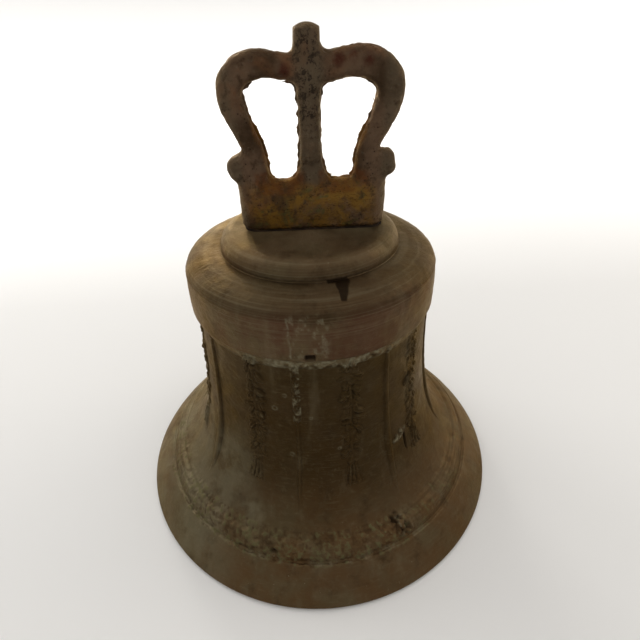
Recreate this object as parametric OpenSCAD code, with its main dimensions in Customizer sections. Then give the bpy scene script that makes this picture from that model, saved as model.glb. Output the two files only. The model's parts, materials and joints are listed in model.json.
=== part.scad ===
/* [Bell] */
// Diameter of the mouth, across the outside of the lip
mouth_d = 300; // [290:1:310]
// Height of the flat top that the crown stands on, above the mouth
head_h = 218; // [214:1:222]
// Thickness of the head where the crown is bolted to it
head_t = 20; // [16:1:22]
// Outside radius of the waist where it has stopped flaring
neck_r = 82.2; // [81:0.1:83]
// Thickness of the wall at the neck
waist_t = 7.7; // [7:0.1:9]
// Outside radius of the plain band round the shoulder
shoulder_r = 86.5; // [86:0.1:88]

/* [Relief] */
// Turn of the whole relief about the bell's axis, in degrees
relief_turn = 0; // [-20:1:20]
// How far the ribs stand out of the waist
rib_proud = 2.4; // [1.5:0.1:3]
// How far the garlands stand out of the waist
garland_proud = 2.8; // [2:0.1:3.4]

/* [Crown] */
// Width of the crown's foot
foot_w = 94; // [90:1:96]
// Depth of the crown's foot, front to back
foot_d = 26; // [24:1:28]
// Thickness of the round bars of the crown
bar_d = 15; // [13:0.5:16]
// How far the crown sits to the right of the bell's axis
crown_shift = 3; // [0:0.5:3.5]
// Thickness of the packing under the crown
packing_t = 1.2; // [0.8:0.1:1.6]

/* [Clapper] */
// Radius of the clapper's ball
ball_r = 16; // [14:0.5:16]
// Distance from the hinge pin to the middle of the ball
swing_r = 147; // [146:1:150]
// Radius of the clapper's rod
rod_r = 6; // [5:0.5:6.5]
// Radius of the hinge pin
pin_r = 4; // [3.5:0.1:4.5]

/* [Hidden] */
$fn = 96;

fit_gap = 0.1;              // radial clearance of screwed pieces
bolt_gap = 0.6;             // radial clearance of the holes that the bolts pass through
washer_gap = 0.3;           // radial clearance of the washers
run_gap = 0.08;             // radial clearance of the hinge pin in its bush

mouth_r = mouth_d / 2;
lip_flat = 8;               // width of the flat ring that the bell stands on
lip_round = 2;
bow_top = [mouth_r - 18.7, 23.3];      // upper edge of the lip's plain face
bead_top = [mouth_r - 30.5, 33];       // upper edge of the moulding above it
bead_bulge = 2.2;
waist_top = 161;
// Directions of the ribs and garlands, in degrees from the front; they were set by hand, not evenly
rib_turns = [-54, -9, 33, 78, 124, 169, 215, 260];
garland_turns = [-73, -28, 14, 51, 101, 147, 192, 238];
under_head = head_h - head_t;
bevel_top = 12;             // height of the bevel inside the lip
disc_r = 60.5;              // the raised disc in the middle of the head
disc_foot = head_h - 11;
shoulder_foot = 168.5;
shoulder_line = head_h - 21;

stud_r = 5;
stud_x = 30;                // each stud's distance from the crown's middle
shank_r = 7;
crown_z = head_h + packing_t;
foot_h = 29;
foot_round = 11;
stud_sunk = 20;             // how far the studs screw up into the crown's foot
shank_sunk = 17;            // how far the hanger bolt screws up into it
hole_spare = 2;             // depth of each blind hole past the end of its screw
pivot_z = under_head - 20;  // height of the clapper's hinge
ball_z = pivot_z - swing_r;
tang_t = 10;
arm_t = 4.5;
arm_gap = 0.6;
arm_y = tang_t / 2 + arm_gap;          // inner face of each fork arm
fork_half = arm_y + arm_t;             // outer face of each fork arm
fork_foot = pivot_z - 38;
nut_h = 8;
nut_flats = 17;             // across the flats
washer_t = 2;
washer_r = 10.5;

bronze = [0.36, 0.27, 0.17];
dark_bronze = [0.32, 0.22, 0.13];
iron = [0.24, 0.22, 0.21];
steel = [0.42, 0.41, 0.40];
leather = [0.13, 0.08, 0.05];
brass = [0.62, 0.48, 0.24];

// ---- outline of the bell -------------------------------------------------

// Outside radius of the waist at height z: a long flare, and a short kick out to the moulding
function waist_r(z) = neck_r + 16.8 * exp((55 - z) / 38)
    + (bead_top[0] - neck_r - 16.8 * exp((55 - bead_top[1]) / 38)) * exp((bead_top[1] - z) / 8);

// Inside radius at height z, which thickens the wall towards the mouth
function inner_r(z) = neck_r - waist_t + 15 * exp((54 - z) / 42);

// Points from a to b along a bow that stands out by bulge in the middle
function bow(a, b, bulge, n) = let (d = b - a, out = [d[1], -d[0]] / norm(d))
    [for (i = [0 : n]) let (t = i / n) a + d * t + out * bulge * 4 * t * (1 - t)];

// Points on a quarter ellipse from [r + a, z] up to [r, z + b]
function quarter(r, z, a, b, n) = [for (i = [0 : n]) [r + a * cos(90 * i / n), z + b * sin(90 * i / n)]];

function reversed(list) = [for (i = [len(list) - 1 : -1 : 0]) list[i]];

waist_steps = 14;
function waist_z(i) = bead_top[1] + (waist_top - bead_top[1]) * pow(i / waist_steps, 1.35);
waist_line = [for (i = [1 : waist_steps]) [waist_r(waist_z(i)), waist_z(i)]];

outer_line = concat(
    [[mouth_r - lip_round, 0]],
    [[mouth_r - 0.3, 1], [mouth_r, lip_round + 0.6]],
    bow([mouth_r - 0.2, lip_round + 2.4], bow_top, 0.9, 6),
    bow(bow_top + [0.3, 1.2], bead_top, bead_bulge, 8),
    waist_line,
    [[shoulder_r - 1.2, shoulder_foot - 0.7], [shoulder_r, shoulder_foot]],
    [[shoulder_r - 0.8, shoulder_line - 0.8], [shoulder_r - 0.4, shoulder_line]],
    quarter(disc_r, shoulder_line + 0.5, shoulder_r - 1.2 - disc_r, disc_foot - shoulder_line - 0.5, 10),
    quarter(disc_r - 10, disc_foot, 10, head_h - disc_foot, 8)
);
inner_line = concat(
    [[mouth_r - lip_round - lip_flat, 0]],
    [for (z = [bevel_top : 8 : under_head - 14]) [inner_r(z), z]],
    quarter(inner_r(under_head - 10) - 11, under_head - 10, 11, 10, 6)
);

// The waist's skin from just inside the wall to a height above it, for cutting the relief out of
module waist_skin(proud) {
    rotate_extrude() polygon(concat(
        [for (p = waist_line) [p[0] + proud, p[1]]],
        reversed([for (p = waist_line) [p[0] - 2, p[1]]])
    ));
}

// Holds its outline against the waist in direction turn, the outline's own y being height
module on_waist(turn) {
    rotate([0, 0, turn]) rotate([90, 0, 0]) linear_extrude(height = mouth_r) children();
}

// A long rib that widens downwards and ends in a point
module rib_outline() {
    polygon([[-1.2, waist_top + 1], [1.2, waist_top + 1], [1.6, 130], [2.6, 95], [3.0, 78],
             [2.2, 64], [0, 54], [-2.2, 64], [-3.0, 78], [-2.6, 95], [-1.6, 130]]);
}

// A hanging garland: a string of bunches, each widest in its middle, and a tassel
module garland_outline() {
    bunches = 5;
    bunch_h = 16.5;
    top = waist_top + 1;
    half = [for (i = [0 : bunches - 1], p = [[3.4, 0], [6.4, 0.5]]) [p[0], top - (i + p[1]) * bunch_h]];
    side = concat(half, [[2.8, 80], [5, 76], [6.4, 60]]);
    polygon(concat(side, reversed([for (p = side) [-p[0], p[1]]])));
}

module relief() {
    intersection() {
        waist_skin(rib_proud);
        for (turn = rib_turns) on_waist(relief_turn + turn) rib_outline();
    }
    intersection() {
        waist_skin(garland_proud);
        for (turn = garland_turns) on_waist(relief_turn + turn) garland_outline();
    }
}

// ---- cast pieces ---------------------------------------------------------

module bolt_holes(r, z, h) {
    for (side = [-1, 1])
        translate([crown_shift + side * stud_x, 0, z]) cylinder(r = r, h = h);
}

module bell_shell() {
    color(bronze) difference() {
        union() {
            rotate_extrude() polygon(concat(
                outer_line, [[0, head_h], [0, under_head]], reversed(inner_line)
            ));
            relief();
        }
        bolt_holes(stud_r + bolt_gap, under_head - 1, head_t + 2);
        translate([0, 0, under_head - 1]) cylinder(r = shank_r + bolt_gap, h = head_t + 2);
    }
}

// A round bar from a to b, both given as [x, height]
module bar(a, b, r) {
    d = b - a;
    translate([a[0], 0, a[1]]) rotate([0, atan2(d[0], d[1]), 0]) cylinder(r = r, h = norm(d));
}

module ball_at(p, r) {
    translate([p[0], 0, p[1]]) sphere(r = r);
}

bar_r = bar_d / 2;
leg_foot = [33, crown_z + foot_h - 6];
leg_knee = [34, 266];
bend_mid = [30.5, 298.5];
bend_r = 14;
bend_start = 30;            // degrees below level where the leg runs into the bend
bend_in = bend_mid + bend_r * [cos(bend_start), -sin(bend_start)];
bend_out = bend_mid + [0, bend_r];
crossing = [0, 309];
scroll_mid = [44.5, 256.5];
scroll_r = 8.6;
scroll_t = 15.8;            // thickness of the web that joins the scroll to the leg
post_top = 331;
post_r = bar_r - 0.3;
post_flare_r = 11.5;        // where the post meets the foot
post_flare_h = 9;
post_root = crown_z + foot_h - 5;

// One side arch of the crown: leg, bend and top bar, with the scroll at its foot
module crown_arch() {
    bar(leg_foot, leg_knee, bar_r - 1.2);
    ball_at(leg_knee, bar_r - 0.6);
    bar(leg_knee, bend_in, bar_r - 0.9);
    ball_at(bend_in, bar_r + 0.4);
    translate([bend_mid[0], 0, bend_mid[1]]) rotate([90, 0, 0])
        rotate([0, 0, -bend_start]) rotate_extrude(angle = 90 + bend_start)
            translate([bend_r, 0]) circle(r = bar_r);
    ball_at(bend_out, bar_r + 0.4);
    bar(bend_out, crossing, bar_r - 0.3);
    ball_at(scroll_mid, scroll_r);
    translate([0, scroll_t / 2, 0]) rotate([90, 0, 0]) linear_extrude(height = scroll_t)
        polygon([[30, 244], [44, 248.6], [44, 261], [37, 264], [30, 262]]);
}

module foot_plan(w, d, r) {
    square([w, d - 2 * r], center = true);
    square([w - 2 * r, d], center = true);
    for (x = [-1, 1], y = [-1, 1])
        translate([x * (w / 2 - r), y * (d / 2 - r)]) circle(r = r);
}

module crown() {
    color(dark_bronze) difference() {
        translate([crown_shift, 0, 0]) union() {
            translate([0, 0, crown_z]) linear_extrude(height = foot_h)
                foot_plan(foot_w, foot_d, foot_round);
            for (side = [0, 1]) mirror([side, 0, 0]) crown_arch();
            translate([0, 0, crown_z + foot_h]) cylinder(r1 = post_flare_r, r2 = post_r, h = post_flare_h);
            translate([0, 0, post_root]) cylinder(r = post_r, h = post_top - bar_r - post_root);
            ball_at(crossing, bar_r + 1.6);
            ball_at([0, post_top - bar_r], post_r);
        }
        bolt_holes(stud_r + fit_gap, crown_z - 1, stud_sunk + hole_spare + 1);
        translate([0, 0, crown_z - 1]) cylinder(r = shank_r + fit_gap, h = shank_sunk + hole_spare + 1);
    }
}

packing_in = 1.5;           // how far the packing stays back from the edge of the foot

module crown_packing() {
    color(leather) difference() {
        translate([crown_shift, 0, head_h]) linear_extrude(height = packing_t)
            foot_plan(foot_w - 2 * packing_in, foot_d - 2 * packing_in, foot_round - packing_in);
        bolt_holes(stud_r + bolt_gap, head_h - 1, packing_t + 2);
        translate([0, 0, head_h - 1]) cylinder(r = shank_r + bolt_gap, h = packing_t + 2);
    }
}

// ---- fasteners -----------------------------------------------------------

module ring(r_out, r_in, z, h, sides = $fn) {
    translate([0, 0, z]) difference() {
        cylinder(r = r_out, h = h, $fn = sides);
        translate([0, 0, -1]) cylinder(r = r_in, h = h + 2);
    }
}

module at_studs() {
    for (side = [-1, 1]) translate([crown_shift + side * stud_x, 0, 0]) children();
}

washer_foot = under_head - washer_t;
nut_foot = washer_foot - nut_h;
thin_nut_h = 5;
lock_turn = 20;             // the lock nuts don't stop square with the nuts
thread_spare = 2;           // how far the studs stand out of their lock nuts
stud_foot = nut_foot - thin_nut_h - thread_spare;

module crown_studs() {
    color(iron) at_studs() translate([0, 0, stud_foot])
        cylinder(r = stud_r, h = crown_z + stud_sunk - stud_foot);
}

module crown_washers() {
    color(iron) at_studs() ring(washer_r, stud_r + washer_gap, washer_foot, washer_t);
}

module crown_nuts() {
    color(iron) at_studs() ring(nut_flats / sqrt(3), stud_r + fit_gap, nut_foot, nut_h, 6);
}

module crown_lock_nuts() {
    color(iron) at_studs() rotate([0, 0, lock_turn])
        ring(nut_flats / sqrt(3), stud_r + fit_gap, nut_foot - thin_nut_h, thin_nut_h, 6);
}

// ---- clapper hanger ------------------------------------------------------

collar_t = 5;
collar_r = 13;
hanger_washer_t = 2.5;
hanger_washer_r = 15.5;
shank_foot = under_head - hanger_washer_t;
collar_foot = shank_foot - collar_t;
eye_r = 10.5;
bush_r = 6;

module across(r, y, length) {
    translate([0, y, pivot_z]) rotate([-90, 0, 0]) cylinder(r = r, h = length);
}

module hanger_bolt() {
    color(iron) difference() {
        union() {
            translate([0, 0, collar_foot]) cylinder(r = collar_r, h = collar_t);
            translate([0, 0, shank_foot]) cylinder(r = shank_r, h = crown_z + shank_sunk - shank_foot);
            across(eye_r, -tang_t / 2, tang_t);
            translate([-eye_r, -tang_t / 2, pivot_z]) cube([2 * eye_r, tang_t, collar_foot - pivot_z + 1]);
        }
        across(bush_r, -tang_t / 2 - 1, tang_t + 2);
    }
}

module hanger_washer() {
    color(iron) ring(hanger_washer_r, shank_r + washer_gap, shank_foot, hanger_washer_t);
}

module hanger_bush() {
    color(brass) difference() {
        across(bush_r, -tang_t / 2, tang_t);
        across(pin_r + run_gap, -tang_t / 2 - 1, tang_t + 2);
    }
}

// ---- clapper -------------------------------------------------------------

arm_r = 9;
boss_r = 9.5;
boss_foot = fork_foot - 6;
yoke_h = 10;
tight_gap = 0.03;           // radial clearance of the hinge pin in the fork, which turns with it

module clapper_fork() {
    color(iron) difference() {
        union() {
            for (y = [arm_y, -fork_half]) {
                across(arm_r, y, arm_t);
                translate([-arm_r, y, fork_foot]) cube([2 * arm_r, arm_t, pivot_z - fork_foot]);
            }
            translate([-arm_r, -fork_half, fork_foot]) cube([2 * arm_r, 2 * fork_half, yoke_h]);
            translate([0, 0, boss_foot]) cylinder(r = boss_r, h = fork_foot - boss_foot + 4);
        }
        across(pin_r + tight_gap, -fork_half - 1, 2 * fork_half + 2);
        translate([0, 0, boss_foot - 1])
            cylinder(r = rod_r + fit_gap, h = fork_foot + yoke_h - boss_foot + 2);
    }
}

pin_head_t = 3;
pin_head_r = pin_r + 3;
pin_end = fork_half + 6;
split_y = fork_half + 3.3;
split_r = 0.9;

module hinge_pin() {
    color(steel) difference() {
        union() {
            across(pin_r, -fork_half, fork_half + pin_end);
            across(pin_head_r, -fork_half - pin_head_t, pin_head_t);
        }
        translate([0, split_y, pivot_z - 10]) cylinder(r = split_r + fit_gap, h = 20);
    }
}

hinge_washer_r = pin_r + 3.4;
hinge_washer_t = 1.6;

module hinge_washer() {
    color(steel) difference() {
        across(hinge_washer_r, fork_half + 0.1, hinge_washer_t);
        across(pin_r + 0.2, fork_half - 1, hinge_washer_t + 2);
    }
}

split_foot = 7.5;           // the split pin's lower end, below the hinge pin's axis
split_eye_z = 7.4;          // middle of the split pin's eye, above the hinge pin's axis
split_eye_r = 1.9;

module split_pin() {
    color(steel) translate([0, split_y, pivot_z]) {
        translate([0, 0, -split_foot]) cylinder(r = split_r, h = split_foot + split_eye_z - split_eye_r);
        translate([0, 0, split_eye_z]) rotate([90, 0, 0]) rotate_extrude(angle = 360)
            translate([split_eye_r, 0]) circle(r = split_r - 0.15, $fn = 24);
    }
}

rod_top = fork_foot + yoke_h - 1;
rod_waist_r = rod_r - 1;
rod_end = 1.7;              // the rod stops this far inside the bottom of the ball
ball_top = ball_z + ball_r;
ball_pin_r = 1.5;
stalk_r = 1.9;              // radius of the lanyard eye's stalk
stalk_hole = 9;             // depth of the hole for it, from the bottom of the ball

module clapper_rod() {
    color(iron) difference() {
        union() {
            translate([0, 0, ball_top]) cylinder(r = rod_r, h = rod_top - ball_top);
            translate([0, 0, ball_z - ball_r + rod_end]) cylinder(r = rod_waist_r, h = 2 * ball_r);
        }
        translate([0, 0, ball_z - ball_r]) cylinder(r = stalk_r + 0.2, h = stalk_hole);
        translate([0, -rod_r - 1, ball_z]) rotate([-90, 0, 0])
            cylinder(r = ball_pin_r + fit_gap, h = 2 * rod_r + 2);
    }
}

rod_nut_flats = 20;
rod_nut_h = 7;

module rod_lock_nut() {
    color(iron) ring(rod_nut_flats / sqrt(3), rod_r + fit_gap, boss_foot - rod_nut_h, rod_nut_h, 6);
}

module clapper_ball() {
    color(iron) difference() {
        translate([0, 0, ball_z]) sphere(r = ball_r);
        translate([0, 0, ball_z - ball_r - 1]) cylinder(r = rod_waist_r + fit_gap, h = 2 * ball_r + 2);
        translate([0, -ball_r - 1, ball_z]) rotate([-90, 0, 0])
            cylinder(r = ball_pin_r + fit_gap, h = 2 * ball_r + 2);
    }
}

module ball_pin() {
    color(steel) translate([0, 0.5 - ball_r, ball_z]) rotate([-90, 0, 0])
        cylinder(r = ball_pin_r, h = 2 * ball_r - 1);
}

eye_z = ball_z - ball_r - 4.4;      // middle of the eye at the tail of the clapper
eye_hole_r = 3.2;
eye_wall = 2.4;
eye_t = 4.6;

stalk_h = 7;

module lanyard_eye() {
    color(iron) difference() {
        union() {
            translate([0, eye_t / 2, eye_z]) rotate([90, 0, 0])
                cylinder(r = eye_hole_r + eye_wall, h = eye_t);
            translate([0, 0, eye_z + eye_hole_r + 1]) cylinder(r = stalk_r, h = stalk_h);
        }
        translate([0, eye_t, eye_z]) rotate([90, 0, 0]) cylinder(r = eye_hole_r, h = 2 * eye_t);
    }
}

bell_shell();
crown();
crown_packing();
crown_studs();
crown_washers();
crown_nuts();
crown_lock_nuts();
hanger_bolt();
hanger_washer();
hanger_bush();
clapper_fork();
hinge_pin();
hinge_washer();
split_pin();
clapper_rod();
rod_lock_nut();
clapper_ball();
ball_pin();
lanyard_eye();
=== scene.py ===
import json
import math
from itertools import product

import bpy
import numpy as np
from mathutils import Matrix, Vector
from mathutils.geometry import delaunay_2d_cdt


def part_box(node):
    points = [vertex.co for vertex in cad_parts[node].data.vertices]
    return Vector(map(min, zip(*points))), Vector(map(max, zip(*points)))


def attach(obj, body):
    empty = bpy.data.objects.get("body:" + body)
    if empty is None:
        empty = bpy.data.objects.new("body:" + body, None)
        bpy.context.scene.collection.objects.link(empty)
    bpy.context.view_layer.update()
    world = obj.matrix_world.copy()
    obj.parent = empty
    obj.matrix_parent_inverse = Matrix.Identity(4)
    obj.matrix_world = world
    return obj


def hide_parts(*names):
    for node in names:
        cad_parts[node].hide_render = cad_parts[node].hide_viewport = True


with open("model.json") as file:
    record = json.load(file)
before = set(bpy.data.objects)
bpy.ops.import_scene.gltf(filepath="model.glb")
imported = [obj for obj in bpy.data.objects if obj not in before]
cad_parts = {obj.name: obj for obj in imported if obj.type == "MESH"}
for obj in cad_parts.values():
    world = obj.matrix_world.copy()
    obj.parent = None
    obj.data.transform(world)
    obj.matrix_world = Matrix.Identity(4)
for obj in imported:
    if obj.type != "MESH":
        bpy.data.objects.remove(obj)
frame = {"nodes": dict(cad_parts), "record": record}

MM = 0.001
SCENE = bpy.context.scene
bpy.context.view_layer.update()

# ---- sizes, in millimetres, from the frame ----


def box_mm(node):
    """The node's lowest and highest corners, in millimetres."""
    low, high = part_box(node)
    return np.array(low) / MM, np.array(high) / MM


shell_low, shell_high = box_mm("bell_shell")
crown_low, crown_high = box_mm("crown")
stud_low, stud_high = box_mm("crown_studs")

MOUTH_R = (shell_high[0] - shell_low[0]) / 2
HEAD_H = shell_high[2]
UNDER_HEAD = box_mm("hanger_washer")[1][2]  # the hanger's washer bears on the head from below
CROWN_X = (crown_low[0] + crown_high[0]) / 2
CROWN_Z = crown_low[2]
CROWN_TOP = crown_high[2]
STUD_R = (stud_high[1] - stud_low[1]) / 2
STUD_X = (stud_high[0] - stud_low[0]) / 2 - STUD_R
# Radius and height of the moulding's lower and upper edges. The lip is below it and the waist above.
LIP_EDGE = (MOUTH_R - 18.7, 23.3)
BEAD_TOP = (MOUTH_R - 30.5, 33.0)
NECK_R = MOUTH_R * 0.548
WALL = 7.7  # thickness at the neck
# The waist's flare out from the neck: its reach at a height, and how slowly it dies away above
FLARE, FLARE_AT, FLARE_FADE = 16.8, 55, 38
KICK_FADE = 8  # how slowly the kick out to the moulding dies away above it
WAIST_TOP = 165.0
LEDGE_FOOT = 160.4  # a rough ledge slopes out from here to the foot of the shoulder's band
BAND_FOOT = 168.6
SHOULDER_R = MOUTH_R * 0.5767
SHOULDER_LINE = HEAD_H - 21  # a scribed line, where the band ends and the dome above it starts
DISC_R = 60.5
DISC_FOOT = HEAD_H - 11
FLAT_R = 46.0  # the head is flat inside this radius
# The holes down through the head, as x, radius and number of sides: two for studs and one for the hanger
BORES = [(CROWN_X + STUD_X, STUD_R + 0.6, 40), (CROWN_X - STUD_X, STUD_R + 0.6, 40), (0.0, 7.5, 48)]
# Directions of the ribs and garlands, in degrees from the front: they weren't set quite evenly
RIB_TURNS = [-54, -9, 33, 78, 124, 169, -145, -100]
GARLAND_TURNS = [-73, -28.5, 14.5, 51, 101, 147, -168, -122]
FRONT_RIB, RIGHT_RIB = RIB_TURNS[1:3]
FINE, COARSE = 0.28, 0.45  # degrees between the shell's columns of points, in the relief and outside it

# ---- noise ----

LATTICE = 32


def noise(points, size, seed):
    """Smooth noise from -1 to 1 at points, with lumps about size across; it repeats after LATTICE lumps."""
    values = np.random.RandomState(seed).uniform(-1, 1, (LATTICE, LATTICE, LATTICE))
    p = np.asarray(points) / size + 1000.0
    cell = np.floor(p).astype(int)
    t = p - cell
    t = t * t * (3 - 2 * t)
    out = 0.0
    for corner in product((0, 1), repeat=3):
        weight = 1.0
        for axis in range(3):
            weight = weight * (t[..., axis] if corner[axis] else 1 - t[..., axis])
        i, j, k = ((cell[..., axis] + corner[axis]) % LATTICE for axis in range(3))
        out = out + weight * values[i, j, k]
    return out


def rough(points, size, seed, octaves=3):
    """Noise with finer and finer lumps added."""
    return sum(noise(points, size / 2**n, seed + n) / 2**n for n in range(octaves))


def smooth_step(low, high, x):
    """0 below low and 1 above high, with a smooth rise between."""
    t = np.clip((x - low) / (high - low), 0, 1)
    return t * t * (3 - 2 * t)


def fade(low, high, x):
    """1 below low and 0 above high."""
    return 1 - smooth_step(low, high, x)


def window(x, low, high, soft):
    """1 between low and high, falling to 0 over soft on either side."""
    return smooth_step(low - soft, low, x) * fade(high, high + soft, x)


# ---- meshes ----


def add_object(name, data):
    """A new object in the scene."""
    made = bpy.data.objects.new(name, data)
    SCENE.collection.objects.link(made)
    return made


def add_smooth(name, verts, faces):
    """A new smooth mesh in the scene, from verts in metres."""
    mesh = bpy.data.meshes.new(name)
    mesh.from_pydata(verts, [], faces)
    mesh.validate()
    mesh.polygons.foreach_set("use_smooth", [True] * len(mesh.polygons))
    return add_object(name, mesh)


def add_mesh(name, verts, faces, body, attributes):
    """A smooth piece from verts in millimetres, riding on body, with named values at each vertex."""
    piece = add_smooth(name, [tuple(v) for v in np.asarray(verts) * MM], faces)
    for label, values in attributes.items():
        layer = piece.data.attributes.new(label, "FLOAT", "POINT")
        layer.data.foreach_set("value", np.asarray(values, dtype=np.float32))
    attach(piece, body)
    return piece


def ring_faces(index):
    """Faces between neighbouring rows of points, where each row is a closed ring of numbered points."""
    a, b = index[:-1], index[1:]
    quads = np.stack([a, b, np.roll(b, -1, axis=1), np.roll(a, -1, axis=1)], axis=2)
    return [tuple(q) for q in quads.reshape(-1, 4).tolist()]


def surface_net(field, low, step):
    """Vertices and quads of the surface where field, sampled every step from low, passes through 0."""
    inside = field < 0
    shape = tuple(n - 1 for n in field.shape)

    def corner(array, offset):
        return array[tuple(slice(o, o + n) for o, n in zip(offset, shape))]

    count = sum(corner(inside, o).astype(int) for o in product((0, 1), repeat=3))
    mixed = (count > 0) & (count < 8)
    total = np.zeros(shape + (3,))
    hits = np.zeros(shape)
    for axis in range(3):
        for offset in product((0, 1), repeat=3):
            if offset[axis]:
                continue
            far = tuple(1 if i == axis else o for i, o in enumerate(offset))
            a, b = corner(field, offset), corner(field, far)
            cross = corner(inside, offset) != corner(inside, far)
            point = np.zeros(shape + (3,)) + offset
            point[..., axis] = np.where(cross, a / np.where(cross, a - b, 1), 0)
            total += point * cross[..., None]
            hits += cross
    index = np.full(shape, -1)
    index[mixed] = np.arange(mixed.sum())
    verts = low + step * (np.argwhere(mixed) + total[mixed] / hits[mixed][:, None])
    faces = []
    for axis in range(3):
        u, v = (axis + 1) % 3, (axis + 2) % 3
        near = [slice(1, -1)] * 3
        far = [slice(1, -1)] * 3
        near[axis], far[axis] = slice(0, -1), slice(1, None)
        for start, flip in ((True, False), (False, True)):
            edge = (inside[tuple(near)] == start) & (inside[tuple(far)] != start)
            at = np.argwhere(edge)
            for w in (u, v):
                at[:, w] += 1
            ring = []
            for du, dv in ((1, 1), (0, 1), (0, 0), (1, 0)):
                cell = at.copy()
                cell[:, u] -= du
                cell[:, v] -= dv
                ring.append(index[tuple(cell.T)])
            quads = np.stack(ring[::-1] if flip else ring, axis=1)
            faces.append(quads)
    return verts, [tuple(q) for q in np.concatenate(faces).tolist()]


# ---- the bell's shell ----


def waist_r(z):
    """Outside radius of the waist: a long flare, and a short kick out to the moulding."""
    kick = BEAD_TOP[0] - NECK_R - FLARE * math.exp((FLARE_AT - BEAD_TOP[1]) / FLARE_FADE)
    flare = FLARE * np.exp((FLARE_AT - z) / FLARE_FADE)
    return NECK_R + flare + kick * np.exp((BEAD_TOP[1] - z) / KICK_FADE)


def inner_r(z):
    """Inside radius of the wall."""
    return NECK_R - WALL + 15 * np.exp((54 - z) / 42)


def bow(a, b, bulge, count):
    """Points on a shallow curve from a to b, bulging to the right of the way."""
    a, b = np.array(a), np.array(b)
    way = b - a
    out = np.array([way[1], -way[0]]) / np.hypot(*way)
    t = np.linspace(0, 1, count)[:, None]
    return a + way * t + out * bulge * 4 * t * (1 - t)


def quarter(r, z, wide, tall, count):
    """Points on a quarter of an ellipse about r and z, from its side up to its top."""
    t = np.linspace(0, math.pi / 2, count)
    return np.stack([r + wide * np.cos(t), z + tall * np.sin(t)], axis=1)


def moulding_line():
    """The outline of the lip's upper edge, the groove above it and the moulding, as radius and height."""
    edge_r, edge_z = LIP_EDGE
    top_r, top_z = BEAD_TOP
    edge = [[edge_r, edge_z], [edge_r - 0.7, edge_z + 0.1]]
    groove = [[edge_r - 1.5, edge_z - 0.35], [edge_r - 2.2, edge_z + 0.1]]
    bead = bow((edge_r - 2.7, edge_z + 1.1), (top_r + 0.4, top_z - 0.3), 1.7, 13)
    hollow = [[top_r - 0.6, top_z + 0.05]]
    return np.concatenate([edge, groove, bead, hollow])


def ledge_line():
    """The outline of the ledge between the waist and the foot of the shoulder's band."""
    t = np.linspace(0, 1, 15)[:, None]
    low = np.array([waist_r(LEDGE_FOOT) + 0.1, LEDGE_FOOT + 0.4])
    high = np.array([SHOULDER_R - 1.5, BAND_FOOT - 0.5])
    ledge = low * (1 - t) + high * t
    ledge[:, 0] += 0.7 * np.sin(math.pi * t[:, 0])
    return ledge


def head_line():
    """The outline from the foot of the shoulder's band up over the disc to the flat of the head."""
    rim = [[SHOULDER_R - 1, BAND_FOOT - 0.2], [SHOULDER_R - 0.3, BAND_FOOT + 0.1]]
    rim.append([SHOULDER_R, BAND_FOOT + 0.7])
    band = bow((SHOULDER_R, BAND_FOOT + 1.4), (SHOULDER_R - 0.75, SHOULDER_LINE - 1.3), 0.35, 44)
    line = [[SHOULDER_R - 0.65, SHOULDER_LINE - 0.5], [SHOULDER_R - 0.95, SHOULDER_LINE]]
    dome_size = SHOULDER_R - 2.2 - DISC_R, DISC_FOOT - SHOULDER_LINE - 0.5
    dome = quarter(DISC_R + 0.8, SHOULDER_LINE + 0.3, *dome_size, 34)
    crease = [[DISC_R + 0.2, DISC_FOOT - 0.4]]
    disc = quarter(DISC_R - 10, DISC_FOOT + 0.2, 10, HEAD_H - DISC_FOOT - 0.2, 18)
    flat = [[FLAT_R + 2, HEAD_H], [FLAT_R, HEAD_H]]
    return np.concatenate([rim, band, line, dome, crease, disc, flat])


def outer_line():
    """The shell's outline outside, from the mouth up to the flat of the head."""
    foot = [[MOUTH_R - 2.4, 0], [MOUTH_R - 1.2, 0.35], [MOUTH_R - 0.5, 1.2]]
    lip = bow((MOUTH_R - 0.35, 2.6), (LIP_EDGE[0] + 0.5, LIP_EDGE[1] - 0.6), 0.9, 26)
    z = np.concatenate([np.arange(BEAD_TOP[1] + 0.8, 46, 0.9), np.arange(46, LEDGE_FOOT, 0.5)])
    waist = np.stack([waist_r(z), z], axis=1)
    return np.concatenate([foot, lip, moulding_line(), waist, ledge_line(), head_line()])


def inner_line():
    """The shell's outline inside, from the mouth up to the flat under the head."""
    z = np.arange(12, UNDER_HEAD - 10, 4.0)
    wall = np.stack([inner_r(z), z], axis=1)
    corner = quarter(inner_r(UNDER_HEAD - 10) - 11, UNDER_HEAD - 10, 11, 10, 10)
    foot = bow((MOUTH_R - 10, 0), (inner_r(12) + 2, 11), 0.0, 8)
    flat = np.array([[FLAT_R, UNDER_HEAD]])
    return np.concatenate([[[MOUTH_R - 6, 0]], foot, wall, corner, flat])


def wrap(turn):
    """Angles in degrees, brought to between -180 and 180."""
    return (turn + 180) % 360 - 180


def rib_height(u, z, points, broken, way):
    """A rib's height at u across it and z up it; its foot leans over to the side way."""
    narrow = 0.5 if broken else 0.9
    half = narrow * np.interp(z, [41, 48, 58, 72, 95, 130, 163], [0.1, 1.5, 2.8, 3.2, 2.6, 2.0, 1.5])
    tall = np.interp(z, [41, 50, 62, 80, 110, 150, 163, 166], [0.0, 1.0, 2.1, 2.2, 1.7, 1.4, 0.9, 0.0])
    bend = 0.4 * np.sin((z - 60) / 17) + 1.2 * fade(40, 66, z) * way
    h = tall * np.clip(1 - ((u - bend) / half) ** 2, 0, 1) ** 0.42
    if broken:
        lumps = np.clip(rough(points, 2.6, 71) * 1.6 + 0.6, 0, 1.6)
        worn = smooth_step(112, 120, z) * fade(160, 162, z)
        h = h * 0.6 * (1 - worn) + worn * lumps * 1.3 * np.clip(1 - (u / 2.5) ** 2, 0, 1) ** 0.6
    return h


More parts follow.
